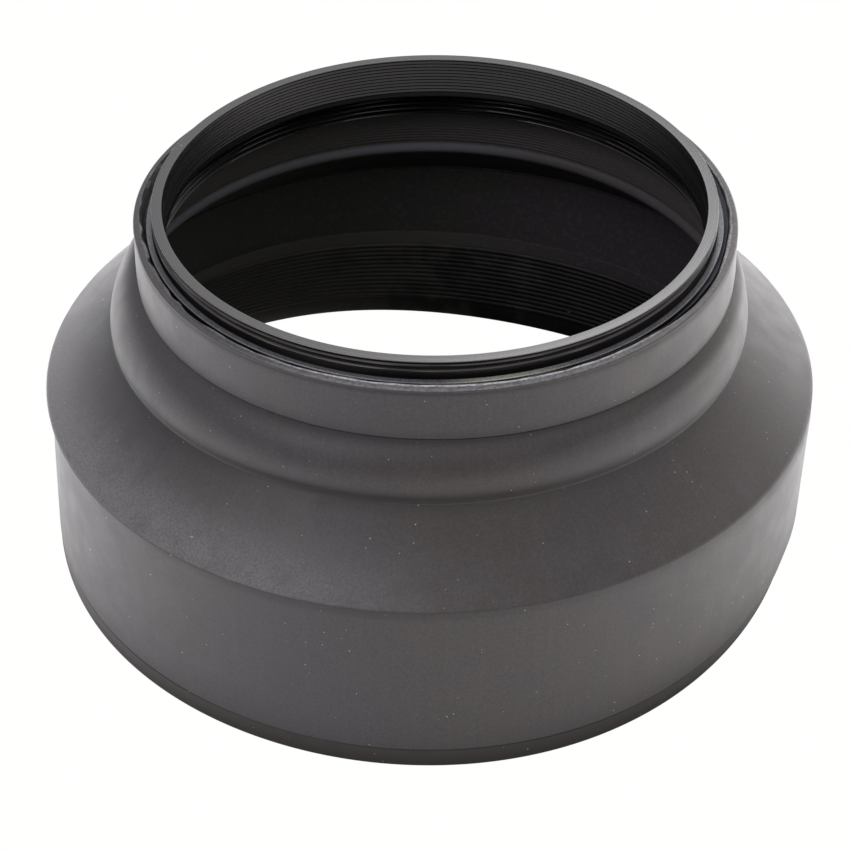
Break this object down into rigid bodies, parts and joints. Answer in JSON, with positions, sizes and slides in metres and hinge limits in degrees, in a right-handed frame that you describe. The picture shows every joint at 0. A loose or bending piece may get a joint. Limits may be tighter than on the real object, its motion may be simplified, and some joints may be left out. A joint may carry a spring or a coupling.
{
  "type": "lens hood",
  "caption": "Collapsible rubber lens hood: a threaded metal mount ring glued into a stepped, flared rubber shade that folds in two stages.",
  "frame": {"origin": "centre of the mouth's plane, the flat end of the front rim", "axes": "+Z along the optical axis, from the mouth towards the lens; X and Y are free, because every piece is round"},
  "size_m": [0.0938, 0.0938, 0.048],
  "materials": {
    "anodised_metal": "black anodised, satin, turned",
    "adhesive": "cured black contact adhesive, semi-gloss",
    "rubber": "matte charcoal moulded rubber, lightly dusty"
  },
  "bodies": {
    "root": {"mount_ring": "anodised_metal", "adhesive_bead": "adhesive", "neck_sleeve": "rubber", "rear_fold_web": "rubber"},
    "middle": {"middle_band": "rubber", "front_fold_web": "rubber"},
    "skirt": {"front_skirt": "rubber", "front_rim": "rubber"}
  },
  "joints": [
    {"name": "rear_fold", "type": "slide", "parent": "root", "child": "middle", "axis": [0, 0, 1], "range_m": [0, 0.0144], "deforming": ["rear_fold_web"]},
    {"name": "front_fold", "type": "slide", "parent": "middle", "child": "skirt", "axis": [0, 0, 1], "range_m": [0, 0.0162], "deforming": ["front_fold_web"]}
  ]
}
